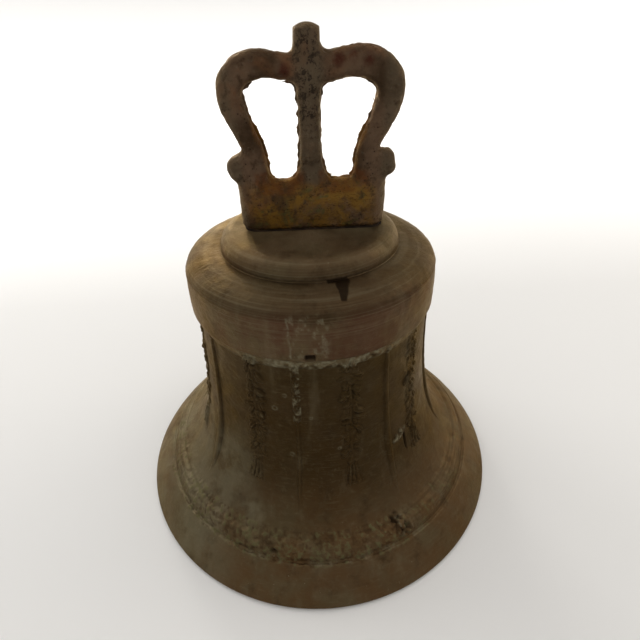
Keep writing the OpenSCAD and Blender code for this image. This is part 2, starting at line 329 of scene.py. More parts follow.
GARLAND_TOP, GARLAND_FOOT = 161.0, 84.0
LEAF_STEP = 4.8  # from one pair of leaves to the next
BUNCH = 16.5  # height of one bunch of leaves
KNOT_Z = 79  # the tassel hangs from a knot under the leaves


def garland_leaves(u, z, rng):
    """Height of a garland's small leaves and buds."""
    h = np.zeros_like(u)
    for i in range(int((GARLAND_TOP - GARLAND_FOOT) / LEAF_STEP) + 1):
        middle = GARLAND_TOP - i * LEAF_STEP
        place = ((GARLAND_TOP - middle) / BUNCH) % 1
        spread = 0.55 + 0.45 * math.sin(math.pi * place)
        for way in (1, -1):
            centre_u = way * spread * rng.uniform(3.2, 6.2)
            centre_z = middle + rng.uniform(-2.2, 2.2)
            tilt = way * rng.uniform(5, 75)
            wide, tall = rng.uniform(1.3, 2.3), rng.uniform(3.0, 5.0)
            cos, sin = math.cos(math.radians(tilt)), math.sin(math.radians(tilt))
            du, dz = u - centre_u, z - centre_z
            side, along = du * cos + dz * sin, dz * cos - du * sin
            leaf = np.clip(1 - (side / wide) ** 2 - (along / tall) ** 2, 0, 1) ** 0.38
            vein = 0.4 * np.exp(-((side / 0.45) ** 2))
            h = np.maximum(h, rng.uniform(1.1, 2.3) * leaf * (1 - vein))
        if i % 2:
            bud = np.hypot(u - rng.uniform(-2.8, 2.8), z - middle) / rng.uniform(1.6, 2.6)
            h = np.maximum(h, rng.uniform(1.5, 2.4) * np.clip(1 - bud**2, 0, 1) ** 0.5)
    return h


def garland_tassel(u, z, rng):
    """Height of the knot and of the strands that hang and spread under it."""
    knot = 2.0 * np.clip(1 - (u / 3.8) ** 2 - ((z - KNOT_Z) / 2.6) ** 2, 0, 1) ** 0.5
    fan = u / (1 + 0.05 * np.clip(KNOT_Z - 3 - z, 0, 20))
    strands = 0.35 + 0.65 * np.clip(0.5 + 0.8 * np.cos(math.pi * fan), 0, 1)
    reach = KNOT_Z - 19 + 3.0 * np.abs(np.sin(u * 1.3 + rng.uniform(0, 3)))
    tassel = np.clip(1 - (fan / 4.3) ** 6, 0, 1) * window(z, reach, KNOT_Z - 2, 0.6)
    return np.maximum(knot, 1.5 * tassel * strands)


def garland_height(u, z, points, rng):
    """A garland's height at u across it and z up it, with its wear and chips."""
    stem = 0.9 * np.clip(1 - (u / 1.1) ** 2, 0, 1) ** 0.4 * window(z, KNOT_Z - 1, GARLAND_TOP - 1, 1.0)
    h = np.maximum(stem, garland_leaves(u, z, rng))
    h = np.maximum(h, garland_tassel(u, z, rng))
    wear = np.clip(0.9 + 0.5 * rough(points, 9, int(rng.randint(1000))), 0.4, 1.3)
    chips = 0.5 * np.clip(rough(points, 2.4, int(rng.randint(1000)), 2), -0.7, 0.8)
    return np.clip(h * wear + chips * (h > 0.2) - 0.2, 0, 3.0)


def column_turns():
    """Directions of the grid's columns, in degrees, closer together where the relief is."""
    turns, at = [], -180.0
    while at < 180 - FINE:
        turns.append(at)
        from_rib = min(abs(wrap(at - start)) for start in RIB_TURNS)
        from_garland = min(abs(wrap(at - start)) for start in GARLAND_TURNS)
        at += FINE if from_rib < 3.2 or from_garland < 7.5 else COARSE
    return np.array(turns)


TURNS = column_turns()
COLUMNS = len(TURNS)


def swept(line):
    """The points of a line of radius and height, swept round to every column's direction."""
    r, z = (np.repeat(line[:, i, None], COLUMNS, axis=1) for i in (0, 1))
    phi = np.radians(TURNS)[None, :]
    return np.stack([r * np.sin(phi), -r * np.cos(phi), z], axis=2), r, z


def outer_face():
    """The outer face's points without relief, their outward directions, and each one's r, z and turn."""
    line = outer_line()
    tangent = np.gradient(line, axis=0)
    tangent /= np.hypot(*tangent.T)[:, None]
    flat, r, z = swept(line)
    out = swept(tangent[:, ::-1] * [1, -1])[0]
    return flat, out, r, z, np.broadcast_to(TURNS[None, :], r.shape)


def waist_relief(flat, r, z):
    """Height of the ribs and garlands at each point."""
    relief = np.zeros_like(r)
    rows = np.where((z[:, 0] > BEAD_TOP[1] + 1) & (z[:, 0] < WAIST_TOP))[0]
    rng = np.random.RandomState(5)
    for start in RIB_TURNS + GARLAND_TURNS:
        away = wrap(TURNS - start)
        columns = np.where(np.abs(away) < 8.5)[0]
        patch = np.ix_(rows, columns)
        u = r[patch] * np.radians(away[columns])[None, :]
        if start in RIB_TURNS:
            h = rib_height(u, z[patch], flat[patch], start == FRONT_RIB, 1 if start < 0 else -1)
        else:
            h = garland_height(u, z[patch], flat[patch], rng)
        relief[patch] = np.maximum(relief[patch], h)
    return relief


def cast_skin(flat, z):
    """The uneven skin of the casting, left off the lip's foot and the flat of the head."""
    skin = 0.3 * noise(flat, 38, 11) + 0.12 * rough(flat, 9, 12) + 0.07 * rough(flat, 2.6, 13, 2)
    return skin * (smooth_step(1.5, 8, z) * fade(HEAD_H - 3, HEAD_H - 0.5, z))


def moulding_crust(flat, r, z, ahead):
    """The crust on the moulding, and how far it and the moulding's fine ridges stand out."""
    bead = window(z, LIP_EDGE[1] + 0.2, BEAD_TOP[1] + 2.5, 2.0) * (r > LIP_EDGE[0] - 16)
    crust_side = 0.3 + 0.7 * window(ahead, -80, 20, 22)
    crust = bead * crust_side * np.clip(rough(flat, 2.2, 21, 3) * 1.1, -0.4, 1.0)
    ridges = bead * 0.22 * np.sin(z * 2.6 + noise(flat, 12, 23))
    return crust, (0.3 + 0.55 * window(ahead, -45, 12, 18)) * crust + ridges


def rough_ledge(flat, z, ahead):
    """The ledge's pale part, at the front, and how far the ledge stands out of its plain slope."""
    front = window(ahead, -18, 24, 26)
    ledge = window(z, LEDGE_FOOT + 1.0, BAND_FOOT - 1.0, 1.2) * (z < BAND_FOOT)
    sharper = 0.25 + 0.75 * smooth_step(20, 60, np.abs(ahead))
    lumps = (0.15 + front) * (0.55 * rough(flat, 3.4, 31) + 0.2)
    lift = ledge * (lumps - 0.7 * sharper * (1 - front))
    return ledge * front * smooth_step(-0.5, 0.6, rough(flat, 2.8, 32)), lift


def across(ahead, at_turn, radius):
    """How far round the bell each point is from the direction at_turn, at that radius."""
    return np.radians(wrap(ahead - at_turn)) * radius


def spot(ahead, z, at_turn, at_z, wide, tall, power=2):
    """1 in the middle of a spot at at_turn degrees and at_z up, falling to 0 at its edge."""
    u = across(ahead, at_turn, outer_radius(at_z))
    return np.clip(1 - np.abs(u / wide) ** power - np.abs((z - at_z) / tall) ** power, 0, 1)


def outer_radius(z):
    """The shell's outside radius at height z, near enough to place a mark."""
    if z > BAND_FOOT:
        return SHOULDER_R
    return waist_r(z) if z > BEAD_TOP[1] else BEAD_TOP[0] + BEAD_TOP[1] - z


def soften(field, reach):
    """The field averaged over reach cells each way."""
    out = sum(np.roll(field, i, axis=1) for i in range(-reach, reach + 1)) / (2 * reach + 1)
    padded = np.pad(out, ((reach, reach), (0, 0)), mode="edge")
    return sum(padded[i:i + len(field)] for i in range(2 * reach + 1)) / (2 * reach + 1)


# Small rings cast on the waist: direction in degrees, height and radius
RINGS = [(-19, 126, 1.7), (-14, 138, 1.1), (-3, 120, 0.9), (-12, 88, 1.2), (9, 92, 1.0)]


def drip_mask(flat, r, z, ahead):
    """A dark drip from the disc's edge: a bar along the crease, and a short tail straight forwards."""
    forward = -flat[..., 1]
    half = np.interp(forward, [60, 66, 77], [4.6, 3.4, 1.5])
    edge = half - np.abs(flat[..., 0] - 17.4 - 0.7 * noise(flat, 5, 34))
    tail = smooth_step(-0.3, 0.5, edge) * window(forward, 58, 76.5, 0.8)
    bar = window(ahead, 8.5, 20, 0.5) * window(r, DISC_R - 0.2, DISC_R + 2.6, 0.5)
    return np.maximum(tail, bar) * (z < DISC_FOOT + 0.8) * (z > SHOULDER_LINE)


def crack_mask(z, ahead):
    """A crack up the front of the band."""
    along = (z - BAND_FOOT) / (SHOULDER_LINE - BAND_FOOT)
    crack_turn = FRONT_RIB - 0.1 - 0.9 * along + 0.25 * np.sin(z * 0.5)
    crack = np.exp(-((across(ahead, crack_turn, SHOULDER_R) / 0.55) ** 2))
    return crack * window(z, BAND_FOOT + 3, SHOULDER_LINE + 1, 1)


def ring_mask(z, ahead):
    """The small rings cast on the waist."""
    rings = 0.0
    for at_turn, at_z, size in RINGS:
        away = np.hypot(across(ahead, at_turn, 85), z - at_z)
        rings = rings + np.exp(-(((away - size) / 0.55) ** 2))
    return rings


def chalky_marks(flat, z, ahead):
    """Pale crumbs on the broken rib, pale scuffs on the band, and a pale line along the lip's edge."""
    worn_rib = window(across(ahead, FRONT_RIB, 84), -2.4, 2.4, 0.6) * window(z, 118, 163, 3)
    crumbs = worn_rib * smooth_step(-0.2, 0.7, rough(flat, 2.4, 36))
    scuffs = window(ahead, -9, 4, 3) * window(z, 174, 197, 5)
    scuffs = scuffs * smooth_step(0.1, 0.6, rough(flat * [1, 1, 0.5], 2.4, 39))
    lip_line = window(ahead, -30, 30, 12) * window(z, LIP_EDGE[1] - 0.3, LIP_EDGE[1] + 0.9, 0.5)
    lip_line = lip_line * smooth_step(-0.2, 0.6, rough(flat, 6, 40))
    return 0.9 * crumbs + 0.45 * scuffs + 0.35 * lip_line


def marks(flat, r, z, ahead):
    """The casting's pits, cracks and rings: how far each stands out, and where it is pale and dark."""
    ragged = 0.12 * rough(flat, 3.0, 37, 2)
    pit = smooth_step(0.1, 0.7, spot(ahead, z, -1.9, 171.6, 3.8, 2.7, 3) + ragged)
    clusters = spot(ahead, z, 26.8, 33.4, 6.0, 3.4) ** 0.5 + spot(ahead, z, 27.8, 28.4, 8.0, 3.6) ** 0.5
    holes = clusters * smooth_step(-0.25, 0.35, rough(flat, 2.4, 35))
    holes = holes + spot(ahead, z, -16, 27.6, 3.4, 1.8) ** 0.5
    slot = spot(ahead, z, 43.6, 72.0, 1.2, 8.0) ** 0.4
    leaf = spot(ahead, z - 0.4 * (np.radians(ahead - 40) * 90), 40.4, 81, 7.5, 4.2) ** 0.5
    leaf = leaf * smooth_step(-0.7, 0.5, rough(flat, 3.0, 38))
    crack, rings = crack_mask(z, ahead), ring_mask(z, ahead)
    lift = 0.3 * rings + 1.5 * leaf - 2.2 * pit - 1.6 * holes - 2.0 * slot - 0.35 * crack
    lift += 0.7 * clusters * (1 - holes)
    pale = 0.45 * rings + leaf + 0.55 * crack + chalky_marks(flat, z, ahead)
    pale += 0.5 * clusters * smooth_step(0.1, 0.5, rough(flat, 2.0, 42))
    # A dark drip stain, and the pits, holes and slot painted near black.
    stain_and_dark_pits = drip_mask(flat, r, z, ahead) + pit + 0.85 * holes + slot
    return lift, pale, np.clip(stain_and_dark_pits, 0, 1)


def warm_tone(z, ahead):
    """Where the metal is redder: the front and right of the band, the low waist and the lip."""
    band = window(ahead, -34, 80, 22) * smooth_step(BAND_FOOT - 2, BAND_FOOT + 2, z)
    band = band * fade(SHOULDER_LINE - 2, SHOULDER_LINE + 8, z)
    low = window(ahead, -20, 95, 28) * fade(80, 128, z)
    strip = window(across(ahead, FRONT_RIB, 90), -2.6, 2.6, 0.8) * window(z, 46, 112, 6)
    rust = spot(ahead, z, -34, 24, 14, 7)
    return np.clip(band + low + strip + rust, 0, 1)


def pale_wash(flat, z, ahead):
    """Where a pale olive is painted: down the left of the flare and lip as a painted highlight, and in a
    cloud at the front.
    """
    left = window(ahead, -125, -44, 24) * fade(60, 110, z)
    cloud = spot(ahead, z, -28, 42, 14, 10) * smooth_step(-0.7, 0.5, rough(flat, 8, 43))
    return np.clip(0.85 * left + 0.7 * cloud, 0, 1)


def inner_face():
    """The inner face's points, with a slight grain."""
    inside, r, z = swept(inner_line()[::-1])
    grain = 0.12 * rough(inside, 7, 41) * window(z, 14, UNDER_HEAD - 4, 4)
    inside[..., :2] *= (1 + grain / r)[..., None]
    return inside


def bored_flat(verts, rim, level):
    """Fills the ring of vertices that rim numbers, at height level, and leaves the bores open.

    Returns the bores' vertices, numbered on from the end of verts, the faces, and each bore's numbers.
    """
    plan = [Vector(verts[i][:2]) for i in rim]
    rings = [list(range(len(plan)))]
    for x, radius, count in BORES:
        rings.append(list(range(len(plan), len(plan) + count)))
        angles = [2 * math.pi * n / count for n in range(count)]
        plan += [Vector((x + radius * math.cos(angle), radius * math.sin(angle))) for angle in angles]
    added = plan[len(rim):]
    number = list(rim) + list(range(len(verts), len(verts) + len(added)))
    edges = [edge for ring in rings for edge in zip(ring, ring[1:] + ring[:1])]
    points, _, triangles, sources, _, _ = delaunay_2d_cdt(plan, edges, [], 0, 1e-6)
    faces = []
    for triangle in triangles:
        corners = [points[i] for i in triangle]
        middle = sum(corners, Vector((0, 0))) / len(corners)
        in_bore = any(math.hypot(middle.x - x, middle.y) < radius * 0.999 for x, radius, _ in BORES)
        if in_bore or middle.length > FLAT_R + 0.5:
            continue
        faces_up = sum(a.cross(b) for a, b in zip(corners, corners[1:] + corners[:1])) > 0
        face = tuple(number[sources[i][0]] for i in triangle)
        faces.append(face if faces_up == (level == HEAD_H) else face[::-1])
    return [(p.x, p.y, level) for p in added], faces, [[number[i] for i in ring] for ring in rings[1:]]


def shell_faces(verts, rows):
    """The vertices with those round the bores added, and all faces of the shell."""
    index = np.arange(rows * COLUMNS).reshape(rows, COLUMNS)
    faces = ring_faces(index)
    bores = []
    for level, rim in ((HEAD_H, index[0]), (UNDER_HEAD, index[-1])):
        added, flat_faces, rings = bored_flat(verts, rim, level)
        verts = np.concatenate([verts, added])
        faces += flat_faces
        bores.append(rings)
    for rings in zip(*bores):
        faces += ring_faces(np.array(rings))
    return verts, faces


def make_shell():
    """The bell's casting: its outer and inner faces, and the head with its bores."""
    flat, out, r, z, ahead = outer_face()
    relief = waist_relief(flat, r, z)
    crust, crust_lift = moulding_crust(flat, r, z, ahead)
    pale, ledge_lift = rough_ledge(flat, z, ahead)
    mark_lift, mark_pale, stain_and_dark_pits = marks(flat, r, z, ahead)
    lift = relief + cast_skin(flat, z) + crust_lift + ledge_lift + mark_lift
    points = flat + lift[..., None] * out
    radial = np.hypot(points[..., 0], points[..., 1])
    points[..., :2] *= np.minimum(1, (MOUTH_R - 0.02) / radial)[..., None]
    points[..., 2] = np.clip(points[..., 2], 0, HEAD_H)
    inside = inner_face()
    # From the flat of the head, out and down to the lip, and up the inside to the flat under the head.
    grid = np.concatenate([points[::-1], inside[::-1]])
    verts, faces = shell_faces(grid.reshape(-1, 3), len(grid))
    blurred = soften(relief, 4)
    near_front, near_right = (window(wrap(ahead - rib), -2.6, 2.6, 1.0) for rib in (FRONT_RIB, RIGHT_RIB))
    # The relief's hollows and the feet of its edges, painted darker later: grime, and painted shade.
    dirt_and_shade = np.clip(blurred - relief, 0, 1) + 0.2 * window(relief, 0.05, 0.5, 0.05)

    def whole(outer, within=0.0):
        """One value per vertex, from the outer face's values and a plain value for the inside."""
        values = np.concatenate([outer[::-1].ravel(), np.full(inside[..., 0].size, within)])
        return np.concatenate([values, np.zeros(len(verts) - len(values))])

    paint = {
        # The relief's tops, painted paler later: wear, and a painted highlight.
        "raised": whole(np.clip(relief - blurred, 0, 2)),
        "grime_and_shade": whole((1 - 0.75 * near_front - 0.6 * near_right) * dirt_and_shade),
        "crust": whole(crust),
        "pale": whole(np.clip(pale + mark_pale, 0, 1)),
        "stain_and_dark_pits": whole(stain_and_dark_pits),
        "warm": whole(warm_tone(z, ahead), 0.4),
        "wash_and_highlight": whole(pale_wash(flat, z, ahead), 0.3),
        "dots": whole(window(ahead, -45, 25, 15) * window(z, 8, 30, 6)),
    }
    piece = add_mesh("bell_casting", verts, faces, "bell", paint)
    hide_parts("bell_shell")
    return piece


# ---- the crown ----

STEP = 0.65  # spacing of the points where the distance to the crown is sampled
FOOT_HALF = (crown_high[1] - crown_low[1]) / 2 - 1.1  # half the foot's depth, front to back
FOOT_TOP = 249.0
BAR_HALF = 7.3  # half the depth of the bars


def smooth_min(a, b, k):
    """The lesser of two distances, blended where they differ by less than k."""
    h = np.clip(0.5 + 0.5 * (b - a) / k, 0, 1)
    return b * (1 - h) + a * h - k * h * (1 - h)


def spline(points, count):
    """A smooth curve through points, each a row of numbers."""
    p = np.array(points, dtype=float)
    p = np.concatenate([[2 * p[0] - p[1]], p, [2 * p[-1] - p[-2]]])
    out = []
    spans = len(p) - 3
    for at in np.linspace(0, spans, count):
        i = min(int(at), spans - 1)
        t = at - i
        a, b, c, d = p[i:i + 4]
        curve = (2 * a - 5 * b + 4 * c - d) * t**2 + (3 * b - a - 3 * c + d) * t**3
        out.append(0.5 * (2 * b + (c - a) * t + curve))
    return np.array(out)


def stroke(x, z, points):
    """Distance in the plane to a line of varying half-width, through points [x, z, half-width]."""
    return np.min([np.hypot(x - px, z - pz) - half for px, pz, half in spline(points, 70)], axis=0)


def meet(corner, a, b, c=-np.inf):
    """Distance to where all the given distances are negative, with its edges rounded to radius corner."""
    a, b, c = a + corner, b + corner, c + corner
    outside = np.sqrt(np.maximum(a, 0) ** 2 + np.maximum(b, 0) ** 2 + np.maximum(c, 0) ** 2)
    return outside + np.minimum(np.maximum(np.maximum(a, b), c), 0) - corner


def thicken(plane, y, depth, corner, draft):
    """A flat outline given depth either side of y = 0, with rounded edges and tapering sides."""
    y = np.abs(y)[None, :, None]
    return meet(corner, plane[:, None, :] + draft * y, y - depth)


# The arch's middle line as x, height and half-width, from the foot up to the post
ARCH = [
    (33.5, 244, 8.2), (33.8, 257, 7.2), (34.8, 266, 6.7), (37.6, 274, 6.8), (41.6, 283, 7.4),
    (45.0, 293, 7.9), (44.4, 302, 8.2), (38.6, 308.6, 8.4), (29.5, 311.7, 8.2), (20.5, 311.2, 7.4),
    (11.5, 309.8, 7.6), (0, 309.5, 8.8),
]
# The same for the post, which runs on above the crown's top
POST = [
    (0, 244, 11.0), (0, 250, 9.6), (0, 256, 7.4), (0, 268, 6.7), (0, 290, 6.8), (0, 302, 7.4),
    (0, 312, 8.0), (0, 322, 7.4), (0, CROWN_TOP - 5, 7.2), (0, CROWN_TOP + 8, 7.1),
]


def scroll(x3, y3, z3, way):
    """The stubby scroll that points outwards from a leg's foot, with a blunt end."""
    tilt = math.radians(10 if way > 0 else -16)
    u, v = way * x3 - 43.2, z3 - 256.4
    along = u * math.cos(tilt) + v * math.sin(tilt)
    upward = v * math.cos(tilt) - u * math.sin(tilt)
    past_edge = np.abs(upward) - (8.4 - 0.12 * along)
    return meet(4.6 if way > 0 else 6.0, np.abs(along) - 9.0, past_edge, np.abs(y3) - 7.0)


def crown_outline(px, pz):
    """Distance in the plane to the arches, post and foot, and the raggedness of the outline."""
    plan = np.stack([px, 0 * px, pz], axis=2)
    wave = 0.5 * rough(plan, 16, 61, 2)
    ragged = rough(plan, 4.2, 62, 3)
    sides = []
    for way, spread, thin in ((1, 1.7, -0.2), (-1, -0.3, 0.7)):
        upper = smooth_step(262, 284, pz)
        shift = spread * upper * smooth_step(12, 34, px * way)
        sides.append(stroke(px * way - shift + 0.4 * wave, pz + 0.6 * wave, ARCH) + thin * upper)
    bars = smooth_min(np.minimum(*sides), stroke(px, pz, POST), 4.5) + 0.35 * wave
    middle, half = (FOOT_TOP + CROWN_Z - 10) / 2, (FOOT_TOP - CROWN_Z + 10) / 2
    block = meet(2.0, np.abs(px) - 47.0, np.abs(pz - middle) - half)
    outline = smooth_min(bars, block + 0.3 * wave + 0.5 * ragged * (pz > 244), 5.0)
    return outline + 0.9 * fade(CROWN_Z, CROWN_Z + 1.8, pz), ragged


def window_fin(px, pz, outline, ragged):
    """Distance in the plane to the ragged fin left by the mould round the windows."""
    in_window = (np.abs(px) < 38) & (pz > 250) & (pz < 303) & (outline > -1)
    leg = window(np.abs(px), 20, 36, 4) * window(pz, 258, 298, 5)
    return np.where(in_window, outline - 0.5 - 0.95 * ragged - 0.6 * leg, 6.0)


def post_tail(x3, y3, z3, way):
    """The tapering tail in which the post runs on down the foot's front or back."""
    t = np.clip((z3 - 228) / 20, 0, 1)
    surface = np.interp(z3, [228, 236, 244, 252, 262], [FOOT_HALF, FOOT_HALF - 0.4, 11.0, 7.6, 1.0])
    radius = 1.4 + 4.4 * t
    proud = 0.9 + 0.5 * t
    tail = np.hypot(x3 + 1.5 * (1 - t), y3 * way + surface + proud - radius) - radius
    return np.maximum(tail, np.maximum(226 - z3, z3 - 262))


def crown_field(x, y, z):
    """Signed distance to the crown, sampled on the grid of x, y and z."""
    px, pz = np.meshgrid(x, z, indexing="ij")
    outline, ragged = crown_outline(px, pz)
    x3, y3, z3 = x[:, None, None], y[None, :, None], z[None, None, :]
    # Deep and nearly square in the foot, and round in the bars above it, with one slope between.
    in_foot = fade(232, 262, z3)
    undercut = 0.4 * fade(CROWN_Z, CROWN_Z + 1.8, z3)
    depth = BAR_HALF + (FOOT_HALF - BAR_HALF) * in_foot - undercut
    corner = 4.2 + 6.2 * fade(238, 258, z3)
    field = thicken(outline, y, depth, corner, 0.12)
    field = smooth_min(field, thicken(window_fin(px, pz, outline, ragged), y, 0.9, 0.5, 0.0), 0.9)
    for way in (1, -1):
        field = smooth_min(field, scroll(x3, y3, z3, way), 3.6)
    for way in (1, -1):
        field = smooth_min(field, post_tail(x3, y3, z3, way), 2.2)
    grid = np.stack(np.meshgrid(x, y, z, indexing="ij"), axis=3)
    field = field + 0.26 * noise(grid, 7.5, 63) + 0.24 * noise(grid, 2.8, 64)
    pitted = 0.3 + 0.7 * smooth_step(236, 262, z3)
    field = field + pitted * 0.5 * np.clip(noise(grid, 2.2, 65), 0, 1)
    dome = CROWN_TOP - 0.3 - 0.045 * np.minimum(x3**2 + y3**2, 60)
    field = np.maximum(field, np.maximum(z3 - dome, CROWN_Z - z3))
    stud_bore, hanger_bore = (STUD_R + 0.15, 21.8), (7.2, 18.8)
    for at, (radius, deep) in ((-STUD_X, stud_bore), (STUD_X, stud_bore), (-CROWN_X, hanger_bore)):
        bore = np.maximum(np.hypot(x3 - at, y3) - radius, z3 - CROWN_Z - deep)
        field = np.maximum(field, -bore)
    return field


# Reddish patches on the arches' top: x, height and half-width
PATCHES = [(-13, 309, 4), (17, 313, 4.5), (25, 314, 3), (33, 313, 4)]


def crown_paint(verts):
    """What to paint on each of the crown's vertices."""
    x, height = verts[:, 0], verts[:, 2]
    side = np.abs(x)
    foot_face = fade(243, 252, height) * fade(33, 44, side)
    sill = window(height, 243, 253, 3) * window(side, 6, 34, 3)
    # The windows' inner sides get the reddish ember tone, and part of the gold as a painted glint.
    jambs = window(side, 9, 33, 3) * window(height, 250, 292, 5)
    jambs = jambs * fade(4, 7, np.abs(verts[:, 1]))
    patches = 0.0
    for at, level, wide in PATCHES:
        patches = patches + np.clip(1 - ((x - at) / wide) ** 2 - ((height - level) / 4.5) ** 2, 0, 1)
    post = fade(6, 11, side) * smooth_step(240, 252, height)
    return {
        "gold_and_glint": np.clip(foot_face + 0.6 * jambs, 0, 1),
        "ember": np.clip(sill + 0.8 * jambs, 0, 1),
        "patches": np.clip(patches, 0, 1),
        "pocks": np.clip(1 - (x / 11) ** 2, 0, 1) * window(height, 284, 322, 12),
        "green": np.clip(post + smooth_step(40, 46, side), 0, 1),
    }


def make_crown():
    """The crown's casting, made about its own middle and then moved to its place on the head."""
    x = np.arange(-60, 62.1, STEP)
    y = np.arange(-16.25, 16.3, STEP)
    z = np.arange(CROWN_Z - 2.2, CROWN_TOP + 2, STEP)
    verts, faces = surface_net(crown_field(x, y, z), np.array([x[0], y[0], z[0]]), STEP)
    verts[:, 2] = np.where(verts[:, 2] < CROWN_Z + 0.45 * STEP, CROWN_Z, verts[:, 2])
    paint = crown_paint(verts)
    verts[:, 0] += CROWN_X
    piece = add_mesh("crown_casting", verts, faces, "bell", paint)
    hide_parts("crown")
    return piece


# ---- materials ----


class Paint:
    """A material's nodes, with short names for the few kinds that are used."""

    def __init__(self, name):
        self.material = bpy.data.materials.new(name)
        self.material.use_nodes = True
        self.nodes, self.links = self.material.node_tree.nodes, self.material.node_tree.links
        self.shader = self.nodes["Principled BSDF"]
        self.place = self.nodes.new("ShaderNodeTexCoord").outputs["Object"]

    def link(self, value, socket):
        """Wires a node's output to the socket, or sets the socket to a plain number or colour."""
        if isinstance(value, bpy.types.NodeSocket):
            self.links.new(value, socket)
        elif isinstance(value, tuple):
            socket.default_value = (*value, 1.0)
        else:
            socket.default_value = value

    def node(self, kind, inputs):
        """A new node, with its inputs wired or set."""
        node = self.nodes.new("ShaderNode" + kind)
        for label, value in inputs.items():
            self.link(value, node.inputs[label])
        return node

    def scaled(self, scale):
        """The place on the object, in metres, multiplied by scale."""
        return self.node("Mapping", {"Vector": self.place, "Scale": scale}).outputs["Vector"]

    def noise(self, size, detail=4.0, roughness=0.55, stretch=(1, 1, 1), distortion=0.0):
        """Noise from 0 to 1 with lumps about size metres across."""
        inputs = {"Vector": self.scaled([s / size for s in stretch]), "Scale": 1.0, "Detail": detail}
        inputs.update({"Roughness": roughness, "Distortion": distortion})
        return self.node("TexNoise", inputs).outputs["Fac"]

    def spots(self, size):
        """Distance to the nearest of many points about size metres apart."""
        inputs = {"Vector": self.scaled([1 / size] * 3), "Scale": 1.0}
        return self.node("TexVoronoi", inputs).outputs["Distance"]

    def attribute(self, name):
        """A value that the mesh holds at each vertex."""
        node = self.nodes.new("ShaderNodeAttribute")
        node.attribute_name = name
        return node.outputs["Fac"]

    def ramp(self, value, low, high, to_low=0.0, to_high=1.0):
        """to_low where value is below low, to_high where it is above high, and smooth between."""
        inputs = {"Value": value, "From Min": low, "From Max": high, "To Min": to_low, "To Max": to_high}
        node = self.node("MapRange", inputs)
        node.interpolation_type = "SMOOTHSTEP"
        return node.outputs["Result"]

    def math(self, kind, a, b):
        node = self.node("Math", {0: a, 1: b})
        node.operation = kind
        return node.outputs[0]

    def times(self, a, b):
        return self.math("MULTIPLY", a, b)

    def mix(self, amount, a, b):
        """Colour a where amount is 0, and b where it is 1."""
        node = self.nodes.new("ShaderNodeMix")
        node.data_type = "RGBA"
        # The node's colours go by number, because inputs of other kinds have the same names.
        for index, value in {0: amount, 6: a, 7: b}.items():
            self.link(value, node.inputs[index])
        return node.outputs[2]

    def bump(self, height, distance, strength=1.0, normal=None):
        """The surface's direction, tilted by height as if it were distance metres deep, on top of normal."""
        inputs = {"Height": height, "Distance": distance, "Strength": strength}
        if normal:
            inputs["Normal"] = normal
        return self.node("Bump", inputs).outputs["Normal"]

    def finish(self, colour, roughness, metallic, normal):
        """Wires up the shader and returns the material."""
        inputs = {"Base Color": colour, "Roughness": roughness, "Metallic": metallic, "Normal": normal}
        for label, value in inputs.items():
            self.link(value, self.shader.inputs[label])
        return self.material


def dull_sheen(p):
    """A weak, warm sheen, as on old bronze."""
    p.shader.inputs["Specular IOR Level"].default_value = 0.2
    p.shader.inputs["Specular Tint"].default_value = (1.0, 0.78, 0.52, 1)


def height_of(p):
    """Height above the mouth, in metres."""
    return p.node("SeparateXYZ", {0: p.place}).outputs["Z"]


def bell_metal(p, height):
    """The bell's colour before wear, dirt and the painted light and shade on the relief, and how deep the
    lathe's lines are.
    """
    olive, brown, dark = (0.097, 0.073, 0.038), (0.090, 0.058, 0.030), (0.026, 0.015, 0.006)
    red, orange, pale = (0.072, 0.035, 0.019), (0.092, 0.053, 0.023), (0.21, 0.18, 0.115)
    colour = p.mix(p.ramp(p.noise(0.06, 4), 0.38, 0.62), olive, brown)
    warm = p.times(p.attribute("warm"), p.ramp(p.noise(0.03, 5, 0.65), 0.36, 0.62, 0.15, 1.0))
    colour = p.mix(warm, colour, p.mix(p.ramp(height, 0.13, 0.16), orange, red))
    waist = p.times(p.ramp(height, 0.020, 0.078), p.ramp(height, 0.158, 0.168, 1, 0))
    colour = p.mix(p.times(waist, 0.86), colour, (0.028, 0.0155, 0.0038))
    colour = p.mix(p.ramp(p.noise(0.018, 6, 0.7), 0.5, 0.72, 0, 0.6), colour, dark)
    colour = p.mix(p.ramp(p.noise(0.0035, 4, 0.7), 0.5, 0.78, 0, 0.14), colour, pale)
    brushed = p.noise(0.006, 4, 0.7, stretch=(0.5, 0.5, 5.0))
    colour = p.mix(p.ramp(brushed, 0.5, 0.75, 0, 0.12), colour, pale)
    # Pale olive down the left of the flare and lip is a painted highlight; the cloud at the front is a pale
    # tone.
    wash_and_highlight = p.times(p.attribute("wash_and_highlight"), p.ramp(p.noise(0.022, 5, 0.6), 0.34, 0.6, 0.15, 0.7))
    colour = p.mix(wash_and_highlight, colour, (0.158, 0.140, 0.088))
    streaks = p.noise(0.05, 5, 0.6, stretch=(4.0, 4.0, 0.55))
    colour = p.mix(p.ramp(streaks, 0.52, 0.74, 0, 0.16), colour, pale)
    low, high = SHOULDER_LINE * MM, DISC_FOOT * MM
    dome = p.times(p.ramp(height, low - 0.004, low + 0.003), p.ramp(height, high, high + 0.002, 0.35, 0))
    colour = p.mix(dome, colour, dark)
    # The band and head were turned on a lathe.
    head = p.ramp(height, 0.172, 0.19)
    turned = p.noise(0.02, 3, 0.6, stretch=(0.15, 0.15, 26.0))
    colour = p.mix(p.times(p.ramp(turned, 0.45, 0.7, 0, 0.2), head), colour, pale)
    scored = p.noise(0.02, 4, 0.7, stretch=(0.2, 0.2, 60.0))
    colour = p.mix(p.times(p.ramp(scored, 0.5, 0.66, 0, 0.3), head), colour, dark)
    return colour, p.times(turned, head)


